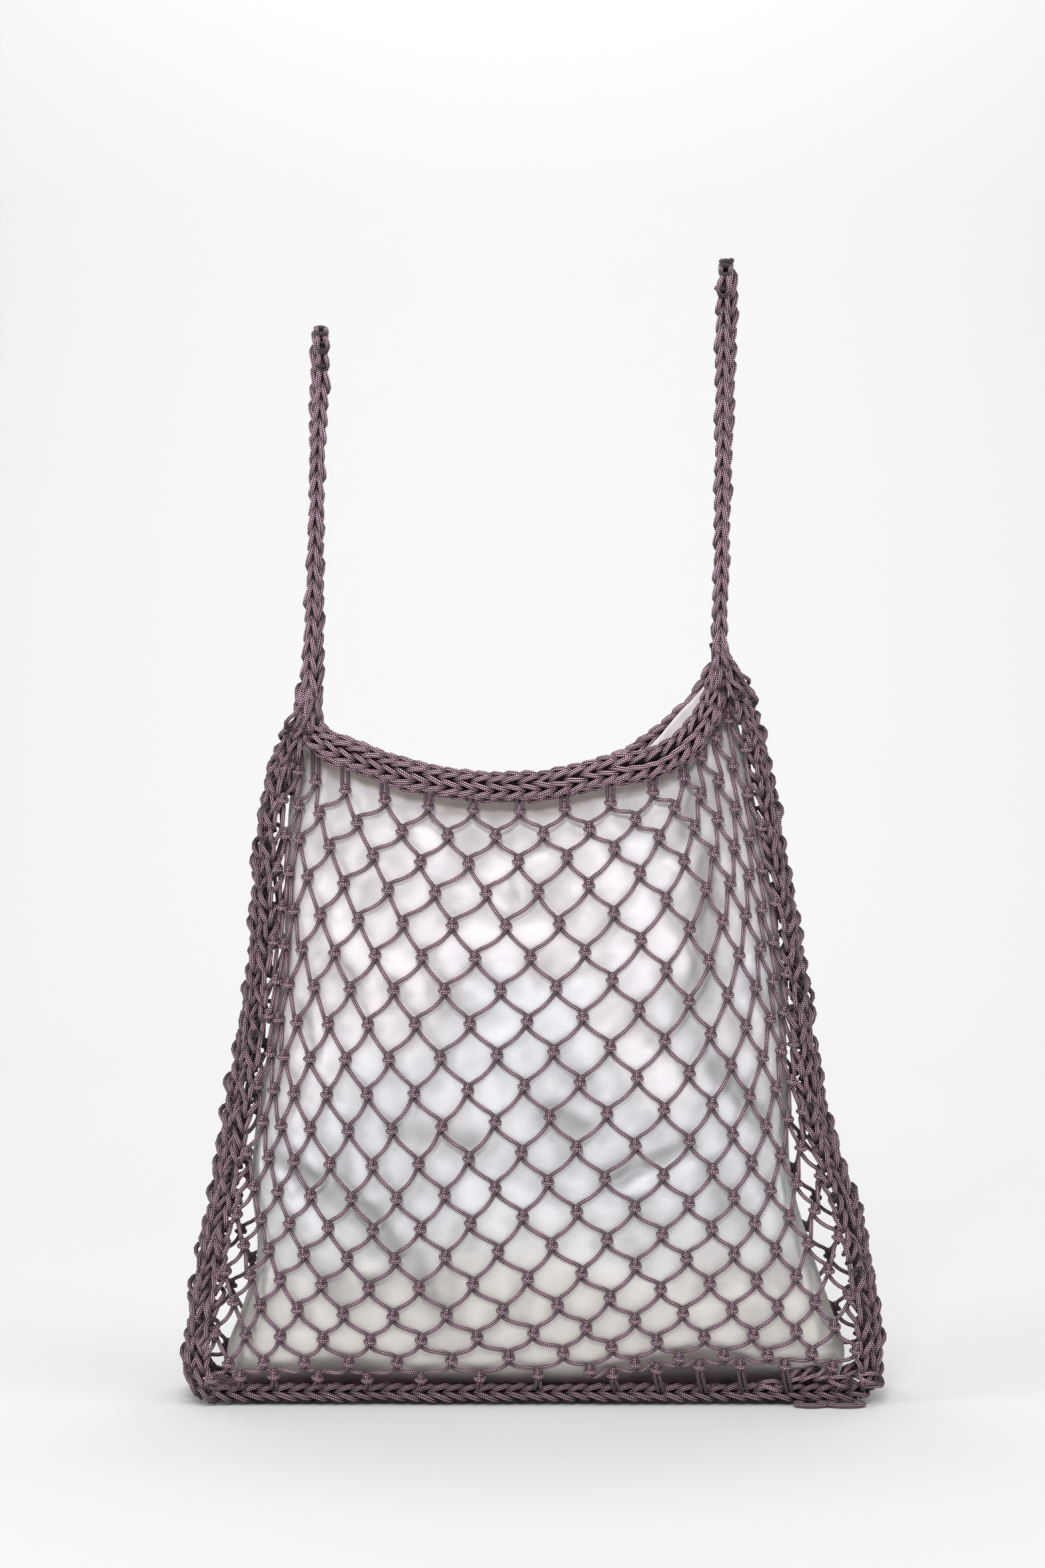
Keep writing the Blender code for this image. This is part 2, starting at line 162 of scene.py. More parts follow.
# How a slack bar of the net hangs between two knots.
LEAVES_DOWN = 0.6
ARRIVES_LEVEL = 0.55
BAR_PULL = 0.36          # how far its ends hold their direction, in shares of its length

Turn = namedtuple("Turn", "side rise along light")
# Half of one chain stitch, in shares of its half width, its cord and its pitch, and its painted
# light: where it dives under its neighbours it is painted dark as shade.
CHAIN_HALF = [
    Turn(0.10, -0.75, -0.22, 0), Turn(0.16, 0.02, 0.0, 0.15), Turn(0.52, 0.52, 0.42, 1),
    Turn(0.93, 0.4, 0.92, 0.9), Turn(1.0, -0.18, 1.22, 0.4), Turn(0.6, -0.62, 1.42, 0.05),
]
CHAIN_HEAD = Turn(0, -0.7, 1.48, 0)

# DARK_PLUM is painted shade for the grooves between the braid's strands; LILAC is the braid's lighter
# strands, painted bright with their sheen as well.
DARK_PLUM = (0.006, 0.0015, 0.003, 1)
PLUM = (0.066, 0.015, 0.034, 1)
LILAC = (1.0, 0.68, 0.82, 1)
FLECK_COLUMNS = 7        # round the cord
FLECK_LENGTH = 0.00105   # metres
# Painted light on the white cotton: warm floor bounce low down, cool and lilac light higher up.
FLOOR_BOUNCE_COTTON = (0.76, 0.73, 0.69, 1)
COOL_LIT_COTTON = (0.765, 0.775, 0.80, 1)
LILAC_LIT_COTTON = (0.84, 0.80, 0.835, 1)
BEIGE_HEM = (0.66, 0.60, 0.56, 1)
CLOTH = 0.0006           # the cotton's thickness, metres

HEART = (0, 0, 0.22)     # where the lights meet
# The soft lights: name, place, size, power and target, in metres and watts.
SOFTBOXES = [
    ("key", (-0.2, -1.75, 1.35), 0.5, 14, HEART),
    ("top", (0.1, -0.5, 1.9), 1.0, 10, HEART),
    ("left", (-1.7, -0.8, 0.7), 0.7, 11, HEART),
    ("right", (1.7, -0.8, 0.6), 0.9, 8.5, HEART),
    ("wall", (0, 1.7, 2.9), 2.6, 60, (0, 3.2, 0.9)),
]
ROOM_LIGHT = 0.28
CAMERA_PLACE = (-0.005, -1.735, 0.322)
CAMERA_LENS = 75.6


class Value:
    """A number in a node tree. Arithmetic on it adds Math nodes."""

    def __init__(self, graph, socket):
        self.graph = graph
        self.socket = socket

    def __add__(self, other):
        return self.graph.math("ADD", self, other)

    __radd__ = __add__

    def __sub__(self, other):
        return self.graph.math("SUBTRACT", self, other)

    def __rsub__(self, other):
        return self.graph.math("SUBTRACT", other, self)

    def __mul__(self, other):
        return self.graph.math("MULTIPLY", self, other)

    __rmul__ = __mul__

    def __truediv__(self, other):
        return self.graph.math("DIVIDE", self, other)


class Graph:
    """A node tree that is being built."""

    def __init__(self, tree):
        self.tree = tree

    def node(self, kind, settings=None, sockets=None):
        """Adds a node. Its settings come first, then the values or links of its sockets."""
        node = self.tree.nodes.new(kind)
        for name, value in (settings or {}).items():
            setattr(node, name, value)
        self.feed(node, sockets or {})
        return node

    def feed(self, node, sockets):
        """Gives a node's sockets their plain values or links."""
        for name, value in sockets.items():
            if isinstance(value, Value):
                self.tree.links.new(value.socket, node.inputs[name])
            else:
                node.inputs[name].default_value = value

    def value(self, kind, settings=None, sockets=None, out=0):
        """Adds a node and gives one of its outputs."""
        return Value(self, self.node(kind, settings, sockets).outputs[out])

    def math(self, operation, *numbers):
        """A Math node on plain numbers and values."""
        return self.value("ShaderNodeMath", {"operation": operation}, dict(enumerate(numbers)))

    def step(self, number, low, high):
        """0 below low and 1 above high, with a soft rise between them."""
        return self.value("ShaderNodeMapRange", {"interpolation_type": "SMOOTHSTEP"},
                          {0: number, 1: low, 2: high, 3: 0.0, 4: 1.0})

    def mix(self, share, first, second):
        """A colour between two, either of which may be plain or linked."""
        sockets = {0: share, 6: first, 7: second}
        return self.value("ShaderNodeMix", {"data_type": "RGBA"}, sockets, 2)

    def shade(self, colour, share):
        """A colour made darker or lighter by a share."""
        return self.value("ShaderNodeVectorMath", {"operation": "SCALE"}, {0: colour, 3: share})

    def vector(self, *parts):
        """A vector from its parts."""
        return self.value("ShaderNodeCombineXYZ", None, dict(enumerate(parts)))

    def clouds(self, place, scale, detail):
        """Soft noise from 0 to 1."""
        sockets = {"Vector": place, "Scale": scale, "Detail": detail}
        return self.value("ShaderNodeTexNoise", None, sockets)

    def painted(self, name):
        """A number that the mesh keeps, read in a material."""
        return self.value("ShaderNodeAttribute", {"attribute_name": name}, None, 2)

    def kept(self, name, kind="FLOAT"):
        """What the mesh keeps under a name, read in a Geometry Nodes tree."""
        return self.value("GeometryNodeInputNamedAttribute", {"data_type": kind}, {"Name": name})

    def keep(self, geometry, name, value, kind="FLOAT", domain="POINT"):
        """The geometry with a value kept under a name."""
        return self.value("GeometryNodeStoreNamedAttribute", {"data_type": kind, "domain": domain},
                          {"Geometry": geometry, "Name": name, "Value": value})


def new_tree(name, inputs):
    """A Geometry Nodes tree with named inputs, its graph and those inputs as values."""
    tree = bpy.data.node_groups.new(name, "GeometryNodeTree")
    tree.interface.new_socket("Geometry", in_out="OUTPUT", socket_type="NodeSocketGeometry")
    for label, kind in inputs.items():
        tree.interface.new_socket(label, in_out="INPUT", socket_type=kind)
    graph = Graph(tree)
    source = graph.node("NodeGroupInput")
    return graph, {label: Value(graph, source.outputs[label]) for label in inputs}


def end_tree(graph, geometry, material):
    """Ends a tree in Realize Instances and Set Material."""
    real = graph.value("GeometryNodeRealizeInstances", None, {0: geometry})
    done = graph.value("GeometryNodeSetMaterial", None, {"Geometry": real, "Material": material})
    graph.node("NodeGroupOutput", None, {0: done})
    return graph.tree


def braided_cord_tree():
    """A tube along every line of points, which keeps its turn and its length as a UV map."""
    graph, given = new_tree("braided cord", {
        "Lines": "NodeSocketGeometry", "Thickness": "NodeSocketFloat", "Sides": "NodeSocketInt",
        "Material": "NodeSocketMaterial",
    })
    line = graph.value("GeometryNodeMeshToCurve", None, {0: given["Lines"]})
    line = graph.keep(line, "along", graph.value("GeometryNodeSplineParameter", out=1))
    ring = graph.value("GeometryNodeCurveArc", None, {
        "Resolution": given["Sides"] + 1, "Radius": given["Thickness"] * 0.5, "Start Angle": 0.0,
        "Sweep Angle": 2 * pi,
    })
    ring = graph.keep(ring, "turn", graph.value("GeometryNodeSplineParameter"))
    tube = graph.value("GeometryNodeCurveToMesh", None,
                       {"Curve": line, "Profile Curve": ring, "Scale": graph.kept("fullness")})
    spot = graph.vector(graph.kept("turn"), graph.kept("along"))
    tube = graph.keep(tube, "UVMap", spot, "FLOAT2", "CORNER")
    tube = graph.value("GeometryNodeMergeByDistance", None,
                       {"Geometry": tube, "Distance": 0.02 * MM})
    tube = graph.value("GeometryNodeSetShadeSmooth", None, {"Geometry": tube})
    return end_tree(graph, tube, given["Material"])


def chain_tree():
    """Chain stitches along every guide, each facing outwards and a little uneven."""
    graph, given = new_tree("crochet chain", {
        "Guides": "NodeSocketGeometry", "Stitch": "NodeSocketObject", "Pitch": "NodeSocketFloat",
        "Sway": "NodeSocketFloat", "Seed": "NodeSocketInt", "Material": "NodeSocketMaterial",
    })
    line = graph.value("GeometryNodeMeshToCurve", None, {0: given["Guides"]})
    line = graph.value("GeometryNodeResampleCurve", {"mode": "LENGTH"},
                       {"Curve": line, "Length": given["Pitch"]})
    tangent = graph.value("GeometryNodeInputTangent")
    facing = graph.value("FunctionNodeAlignRotationToVector", {"axis": "Y"}, {"Vector": tangent})
    facing = graph.value("FunctionNodeAlignRotationToVector", {"axis": "Z", "pivot_axis": "Y"},
                         {"Rotation": facing, "Vector": graph.kept("outward", "FLOAT_VECTOR")})
    low, high = (graph.vector(limit, limit, limit) for limit in (given["Sway"] * -1, given["Sway"]))
    sway = graph.value("FunctionNodeRandomValue", {"data_type": "FLOAT_VECTOR"},
                       {"Min": low, "Max": high, "Seed": given["Seed"]})
    sway = graph.value("FunctionNodeEulerToRotation", None, {0: sway})
    facing = graph.value("FunctionNodeRotateRotation", {"rotation_space": "LOCAL"},
                         {0: facing, 1: sway})
    size = graph.value("FunctionNodeRandomValue", {"data_type": "FLOAT"},
                       {"Min": 0.93, "Max": 1.07, "Seed": given["Seed"] + 1}, 1)
    scale = graph.vector(graph.kept("breadth") * size, size, size)
    stitch = graph.value("GeometryNodeObjectInfo", None, {"Object": given["Stitch"]}, 4)
    chain = graph.value("GeometryNodeInstanceOnPoints", None,
                        {"Points": line, "Instance": stitch, "Rotation": facing, "Scale": scale})
    tone = graph.value("FunctionNodeRandomValue", {"data_type": "FLOAT"},
                       {"Seed": given["Seed"] + 2}, 1)
    return end_tree(graph, graph.keep(chain, "tone", tone, "FLOAT", "INSTANCE"), given["Material"])


def placed(name, data):
    """A new object in the scene."""
    piece = bpy.data.objects.new(name, data)
    bpy.context.scene.collection.objects.link(piece)
    return piece


def grown(name, mesh, tree, values):
    """The plain mesh object that a Geometry Nodes tree makes from a mesh."""
    source = placed(name + "_source", mesh)
    modifier = source.modifiers.new("grow", "NODES")
    modifier.node_group = tree
    for item in tree.interface.items_tree:
        if item.in_out == "INPUT" and item.name in values:
            modifier[item.identifier] = values[item.name]
    evaluated = source.evaluated_get(bpy.context.evaluated_depsgraph_get())
    result = placed(name, bpy.data.meshes.new_from_object(evaluated))
    result.data.name = name
    bpy.data.objects.remove(source, do_unlink=True)
    bpy.data.meshes.remove(mesh)
    return result


def line_mesh(name, lines, attributes):
    """A mesh of open lines. Each point is a place and then a value for every attribute."""
    points, edges = [], []
    for line in lines:
        edges += [(len(points) + k, len(points) + k + 1) for k in range(len(line) - 1)]
        points += line
    mesh = bpy.data.meshes.new(name)
    mesh.from_pydata([Vector(point[0]) * MM for point in points], edges, [])
    for k, (label, kind) in enumerate(attributes.items()):
        layer = mesh.attributes.new(label, kind, "POINT")
        for point, item in zip(points, layer.data):
            if kind == "FLOAT":
                item.value = point[k + 1]
            else:
                item.vector = point[k + 1]
    return mesh


def cords(name, paths, thickness=CORD, sides=7):
    """Braided cords along paths, closed at both ends. A point's fourth number is its painted light:
    the cord's colour is darkened by it as painted shade.
    """
    lines = []
    for path in paths:
        spots = [(Vector(point[:3]), point[3] if len(point) > 3 else 1.0) for point in path]
        start = spots[0][0] + (spots[0][0] - spots[1][0]).normalized() * thickness * 0.15
        end = spots[-1][0] + (spots[-1][0] - spots[-2][0]).normalized() * thickness * 0.15
        line = [(start, 0.0, spots[0][1])]
        line += [(place, 1.0, light) for place, light in spots]
        line.append((end, 0.0, spots[-1][1]))
        lines.append(line)
    mesh = line_mesh(name, lines, {"fullness": "FLOAT", "light": "FLOAT"})
    values = {"Thickness": thickness * MM, "Sides": sides, "Material": CORD_LOOK}
    return grown(name, mesh, CORD_TREE, values)


def chains(name, guides, stitch, chain, shift=0):
    """Rows of chain stitches. A guide lists (place, outward, breadth). shift moves the seed."""
    mesh = line_mesh(name, guides, {"outward": "FLOAT_VECTOR", "breadth": "FLOAT"})
    values = {"Stitch": stitch, "Pitch": chain.pitch * MM, "Sway": radians(chain.sway),
              "Seed": chain.seed + shift, "Material": CORD_LOOK}
    return grown(name, mesh, CHAIN_TREE, values)


def joined(pieces):
    """Several pieces as one object, named as the first."""
    with bpy.context.temp_override(active_object=pieces[0], selected_editable_objects=pieces):
        bpy.ops.object.join()
    return pieces[0]


def stands_for(piece, node):
    """Fits a finished piece to the frame."""
    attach(piece, "root")
    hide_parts(node)


def slope_at(marks, values, k):
    """The slope at one mark of the smooth curve through the values."""
    low, high = max(k - 1, 0), min(k + 1, len(marks) - 1)
    return (values[high] - values[low]) / (marks[high] - marks[low])


def smooth(xs, ys, x):
    """A smooth curve through the points (xs, ys), read at x, and held level beyond its ends."""
    if x <= xs[0]:
        return ys[0]
    if x >= xs[-1]:
        return ys[-1]
    i = max(k for k in range(len(xs) - 1) if xs[k] <= x)
    span = xs[i + 1] - xs[i]
    t = (x - xs[i]) / span
    start, end = slope_at(xs, ys, i) * span, slope_at(xs, ys, i + 1) * span
    rise = ys[i + 1] - ys[i]
    square, cube = 3 * rise - 2 * start - end, start + end - 2 * rise
    return ys[i] + t * start + t * t * square + t ** 3 * cube


def read(table, name, at, key="z"):
    """The column called name of a table, read smoothly at a value of its key column."""
    return smooth([getattr(row, key) for row in table], [getattr(row, name) for row in table], at)


def curve_through(points, steps):
    """Points on a smooth curve through the given ones, with so many steps from each to the next."""
    points = [Vector(point) for point in points]
    marks = [0.0]
    for p, q in zip(points, points[1:]):
        marks.append(marks[-1] + max((Vector(q[:3]) - Vector(p[:3])).length, 0.01))
    curve = []
    for k in range(len(points) - 1):
        span = marks[k + 1] - marks[k]
        start, end = slope_at(marks, points, k) * span, slope_at(marks, points, k + 1) * span
        rise = points[k + 1] - points[k]
        for step in range(steps):
            t = step / steps
            curve.append(points[k] + start * t + (3 * rise - 2 * start - end) * t * t
                         + (start + end - 2 * rise) * t ** 3)
    curve.append(points[-1])
    return curve


def edge_reach(z, sign, panel=-1):
    """A gusset's edge, and how far it wraps round towards the front (panel -1) or back net."""
    table = RIGHT_SIDE if sign > 0 else LEFT_SIDE
    edge, reach = read(table, "edge", z), read(table, "reach", z)
    return edge, reach if panel < 0 else reach * BACK_REACH


def net_depth(x, z):
    """How far in front of the middle plane the net hangs."""
    left, left_reach = edge_reach(z, -1)
    right, right_reach = edge_reach(z, 1)
    left, right = left + left_reach, right - right_reach
    across = min(1, abs(2 * x - left - right) / (right - left))
    edge = read(DEPTHS, "gusset", z)
    return edge + (read(DEPTHS, "net", z) - edge) * (1 - across ** 2.4)


def rim_centre(x):
    """Height of the mouth band's centre line between the places where it turns up."""
    return read(RIM[2:], "z", x, "x")


def band_shift(x, sign):
    """Near the right strap the front mouth band sinks a little and the back one stands up."""
    if sign < 0:
        return -7 * exp(-((x - 82) / 26) ** 2)
    return 5 * exp(-((x - 76) / 15) ** 2)


def net_place(column, row, panel):
    """Where the knot at this column and row of a panel hangs, seen from the front."""
    heights, places = [], []
    for line in NET:
        left, left_reach = edge_reach(line.z0, -1, panel)
        right, right_reach = edge_reach(line.z6, 1, panel)
        x = (left + left_reach + EDGE_INSET, *line[1:6], right - right_reach - EDGE_INSET)
        heights.append(smooth(NET_COLUMN_AT, line[6:], column))
        places.append(smooth(NET_COLUMN_AT, x, column))
    rows = [line.row for line in NET]
    z = smooth(rows, heights, row)
    x = smooth(rows, places, row)
    if column in (FIRST_COLUMN, LAST_COLUMN):
        sign = -1 if column < 0 else 1
        edge, reach = edge_reach(z, sign, panel)
        x = edge - sign * (reach + EDGE_INSET)
    return x, z


def net_knots(sign):
    """Place and directions (across, out, up) of every knot. sign is -1 for the front net."""
    sway = Random(KNOT_SEED + sign)
    knots = {}
    for row in range(LAST_FULL_ROW + 2):
        first = -1.0 if row % 2 == 0 else FIRST_COLUMN
        for k in range(14 + row % 2):
            column = first + k
            if row > LAST_FULL_ROW and column < FIRST_POST:
                continue
            x, z = net_place(column, row, sign)
            slope = (net_depth(x + 1, z) - net_depth(x - 1, z)) / 2
            across = Vector((1, sign * slope, 0)).normalized()
            out = Vector((-slope, sign, 0)).normalized()
            up = Vector((0, 0, 1))
            turn = Euler((0, radians(sway.uniform(-KNOT_SWAY, KNOT_SWAY)), 0)).to_matrix()
            place = Vector((x, sign * net_depth(x, z), z))
            knots[column, row] = place, turn @ across, out, turn @ up
    return knots


def knot_points(knot, shape):
    """A knot's own shape, put where the knot hangs. What lies deep in the knot is painted darker, as
    painted shade.
    """
    place, across, out, up = knot
    points = []
    for point in shape:
        spot = place + (across * point.across + out * point.out + up * point.up) * KNOT_SIZE
        light = min(1, max(0, KNOT_LIGHT + KNOT_LIGHT_RISE * point.out))
        points.append(Vector((*spot, light)))
    return points


def bar(start, end, slack):
    """Two points between an upper and a lower knot. A slack bar starts steep and arrives level."""
    start, end = Vector(start[:3]), Vector(end[:3])
    chord = end - start
    length = chord.length
    ahead = chord / length
    down = Vector((0, 0, -1))
    level = Vector((ahead.x, ahead.y, 0)).normalized()
    # a steep bar has less to give
    slack *= min(1, (1.4 * hypot(ahead.x, ahead.y) / max(0.1, abs(ahead.z))) ** 2)
    leave = (ahead * (1 - LEAVES_DOWN * slack) + down * LEAVES_DOWN * slack).normalized()
    arrive = (ahead * (1 - ARRIVES_LEVEL * slack) + level * ARRIVES_LEVEL * slack).normalized()
    first = start + leave * length * BAR_PULL
    second = end - arrive * length * BAR_PULL
    middle = []
    for t in (0.33, 0.67):
        s = 1 - t
        spot = start * s ** 3 + first * 3 * s * s * t + second * 3 * s * t * t + end * t ** 3
        middle.append(Vector((*spot, 1.0)))
    return middle


def net_paths(sign):
    """The cords of a net: a zigzag for each row of diamonds, then what ties its top and bottom."""
    knots = net_knots(sign)
    paths = []
    for row in range(LAST_FULL_ROW + 1):
        column = FIRST_COLUMN if row < LAST_FULL_ROW else FIRST_POST - 0.5
        low = max(0, row - 15) / 5          # the lowest rows hang slacker
        points = []
        while (column, row) in knots or (column, row + 1) in knots:
            share = (column - FIRST_COLUMN) / (LAST_COLUMN - FIRST_COLUMN)
            falling_slack = 0.1 + 0.4 * share + low * 0.4
            rising_slack = 0.75 - 0.45 * share + low * 0.2
            if (column, row) in knots:
                wrap = knot_points(knots[column, row], WRAP)
                if points:
                    points += reversed(bar(wrap[0], points[-1], rising_slack))
                points += wrap
            else:
                bight = knot_points(knots[column, row + 1], BIGHT)
                if points:
                    points += bar(points[-1], bight[0], falling_slack)
                points += bight
            column += 0.5
        paths.append(curve_through(points, 2))
    # The hangers, posts and ties keep little painted light where they run into the bands and the
    # base: painted shade.
    for (column, row), knot in knots.items():
        place = knot[0]
        if row == 0:
            slope = (rim_centre(place.x + 1) - rim_centre(place.x - 1)) / 2
            low = rim_centre(place.x) + band_shift(place.x, sign) - BAND_RISE * hypot(1, slope)
            top = max(low + 4, place.z + 6)
            hanger = knot_points(knot, BIGHT)
            ends = [Vector((place.x + side, place.y * 0.98, top, 0.12)) for side in (-1.2, 1.2)]
            paths.append(curve_through([ends[0]] + hanger + [ends[1]], 2))
        if row == LAST_FULL_ROW + 1:
            for side in (-1.3, 1.3):
                foot = Vector((place.x + side + 2.5, place.y, 6.5, 0.05))
                half_up = (place.z + 6) / 2
                middle = Vector((place.x + side + 1.0, place.y - sign * 0.4, half_up, 0.25))
                head = Vector((place.x + side * 0.8, place.y, place.z - 2, 0.5))
                paths.append(curve_through([head, middle, foot], 3))
            paths.append(curve_through(knot_points(knot, WRAP), 2))
        if row == LAST_FULL_ROW and column < FIRST_POST - 0.5:
            tie = knot_points(knot, WRAP)
            foot = min(8, place.z - 6)
            ends = [Vector((place.x + side, place.y, foot, 0.1)) for side in (-1.5, 1.5)]
            paths.append(curve_through([ends[0]] + tie + [ends[1]], 2))
    return paths


def make_stitch(name, half_width, pitch, thickness, painted_brightness):
    """One chain stitch, along +Y and facing +Z, for the chain tree to repeat."""
    half = []
    for turn in CHAIN_HALF + [CHAIN_HEAD]:
        half.append((turn.side * half_width, turn.along * pitch, turn.rise * thickness,
                     turn.light * painted_brightness))
    head = half.pop()
    left = [(-x, y, z, light) for x, y, z, light in half]
    return cords(name, [left + [head] + half[::-1]], thickness, 5)


def band_line(points, count):
    """Evenly spaced places on a band's centre line, each with its direction."""
    fine = curve_through(points, 24)
    marks = [0.0]
    for p, q in zip(fine, fine[1:]):
        marks.append(marks[-1] + (q - p).length)
    line, at = [], 0
    for k in range(count + 1):
        wanted = marks[-1] * k / count
        while at < len(marks) - 2 and marks[at + 1] < wanted:
            at += 1
        share = (wanted - marks[at]) / (marks[at + 1] - marks[at])
        place = fine[at].lerp(fine[at + 1], share)
        line.append((place, (fine[at + 1] - fine[at]).normalized()))
    return line


GUSSET_SEED = 5
GUSSET_STRANDS = 48
GUSSET_WALL = 5.2
# Where the columns of chain and the plain cords between them run, from the front (-1) to the back.
GUSSET_COLUMNS = (-0.95, -0.52, -0.2, 0.08, 0.36, 0.64, 0.92)
GUSSET_CORES = (-0.76, -0.36, 0.5, 0.8)
BandRow = namedtuple("BandRow", "up out face_up face_out breadth")
# The rows of chain round a mouth band: their place in its section, their facing and their breadth.
RIM_ROWS = [
    BandRow(4.8, 1.9, 0.75, 0.66, 1), BandRow(-1.9, 3.6, -0.1, 1, 1),
    BandRow(-5.4, 1.0, -0.7, 0.7, 0.7), BandRow(3.4, -3.2, 0.4, -0.9, 1),
    BandRow(-3.6, -3.0, -0.3, -0.95, 1),
]


def rim(name, sign, stitch):
    """The chained band along the mouth."""
    line = band_line([(spot.x, 0, spot.z + band_shift(spot.x, sign)) for spot in RIM], 48)
    guides = [[] for row in RIM_ROWS]
    core = [[], []]
    for k, (place, ahead) in enumerate(line):
        ends = min(k, len(line) - 1 - k)
        taper = min(1, ends / 7)
        rise = 0.6 + 0.4 * taper
        depth = RIM_END_DEPTH + (RIM_DEPTH - RIM_END_DEPTH) * min(1, ends / 14)
        up = Vector((-ahead.z, 0, ahead.x))
        out = Vector((0, sign, 0))
        centre = Vector((place.x, sign * depth, place.z))
        for row, guide in zip(RIM_ROWS, guides):
            spot = centre + up * row.up * rise + out * row.out * (0.7 + 0.3 * taper)
            facing = (up * row.face_up + out * row.face_out).normalized()
            guide.append((spot, facing, (0.8 + 0.2 * taper) * row.breadth))
        for side, strand in zip((1, -1), core):
            strand.append(Vector((*(centre + up * 2.2 * side * rise), 0.0)))
    guides = [guide[::-1] for guide in guides]
    band = chains(name, guides, stitch, BAND_CHAIN, sign)
    return joined([band, cords(name + "_core", core, BAND_CORE, 6)])


def strap(name, sizes, stitch, shift):
    """A chained loop from the bag's front corner over to its back corner. shift moves the seed."""
    crown = sizes.top - STRAP_THICK - CROWN_RADIUS

    def leg(sign, foot, top):
        """Places up the front (sign -1) or back half of the loop."""
        places = []
        for part in (0, 0.2, 0.4, 0.6, 0.8, 1):
            y = sign * (RIM_END_DEPTH - (RIM_END_DEPTH - CROWN_RADIUS) * part)
            z = sizes.foot + (crown - sizes.foot) * part
            places.append((foot + (top - foot) * part, y, z))
        return places

    route = leg(-1, sizes.front_foot, sizes.front_top)
    for step in range(1, 6):
        angle = pi * step / 6
        x = sizes.front_top + (sizes.back_top - sizes.front_top) * step / 6
        route.append((x, -CROWN_RADIUS * cos(angle), crown + CROWN_RADIUS * sin(angle)))
    route += leg(1, sizes.back_foot, sizes.back_top)[::-1]
    line = band_line(route, 90)
    outer, inner, core = [], [], []
    for place, ahead in line:
        across = Vector((1, 0, 0))
        out = across.cross(ahead).normalized() * -1
        outer.append((place + out * 1.7, out, 1.0))
        inner.append((place - out * 1.5, out * -1, 0.95))
        core.append(Vector((*place, 0.0)))
    band = chains(name, [outer[::-1], inner[::-1]], stitch, STRAP_CHAIN, shift)
    return joined([band, cords(name + "_core", [core], STRAP_CORE, 6)])


def gusset_place(across, z, sign, lift):
    """A point of the gusset, lift outside its inner face. across runs from -1 in front to 1."""
    edge, reach = edge_reach(z, sign, across)
    half_depth = read(DEPTHS, "gusset", z)
    angle = across * pi / 2
    inner_edge = edge - sign * GUSSET_WALL
    out_x, out_y = cos(angle) * half_depth, sin(angle) * reach
    length = hypot(out_x, out_y)
    bend = 1 - cos(angle)
    x = inner_edge - sign * reach * bend + sign * (lift * out_x / length + GUSSET_WALL * bend)
    y = (half_depth - GUSSET_WALL / 2) * sin(angle) + lift * sin(angle) * abs(sin(angle))
    return Vector((x, y, z))


def gusset(name, sign, stitch):
    """Columns of open chain bent round the bag's side, with loose strands crossing over them."""
    table = RIGHT_SIDE if sign > 0 else LEFT_SIDE
    bottom, top = table[0].z - 4, table[-1].z
    heights = [bottom + (top - bottom) * step / 40 for step in range(41)]
    guides, core = [], []
    for across in GUSSET_COLUMNS:
        guide = []
        towards = Vector((0, 1 if across > 0 else -1, 0))
        for z in heights[:-2]:
            place = gusset_place(across, z, sign, 3.0)
            outward = gusset_place(across, z, sign, 4.0) - gusset_place(across, z, sign, 0.0)
            facing = (outward.normalized() + towards * 0.9).normalized()
            guide.append((place, facing, 1.0))
        guides.append(guide)
    for across in GUSSET_CORES:
        core.append([Vector((*gusset_place(across, z, sign, 0.8), 0.05)) for z in heights[:-4]])
    wander = Random(GUSSET_SEED + sign)
    strands = []
    for k in range(GUSSET_STRANDS):
        across = wander.uniform(-1.05, 0.9)
        z = wander.uniform(bottom + 4, top - 4)
        lean = wander.uniform(-0.035, 0.035)
        half = wander.uniform(3.0, 5.5)
        swell = wander.uniform(3.6, 4.8)
        strand = []
        # each strand's third number is its painted light: its ends, where it dives in, are painted
        # dark as shade
        for part, lift, light in ((-1, 0.6, 0.1), (-0.6, swell * 0.85, 0.7), (0, swell, 1),
                                  (0.6, swell * 0.85, 0.7), (1, 0.6, 0.1)):
            place = gusset_place(across + lean * half * part, z + half * part, sign, lift)
            strand.append(Vector((*place, light)))
        strands.append(curve_through(strand, 2))
    band = chains(name, guides, stitch, GUSSET_CHAIN, sign)
    return joined([band, cords(name + "_core", core, GUSSET_CORE, 5),
                   cords(name + "_strands", strands, STRAND, 6)])


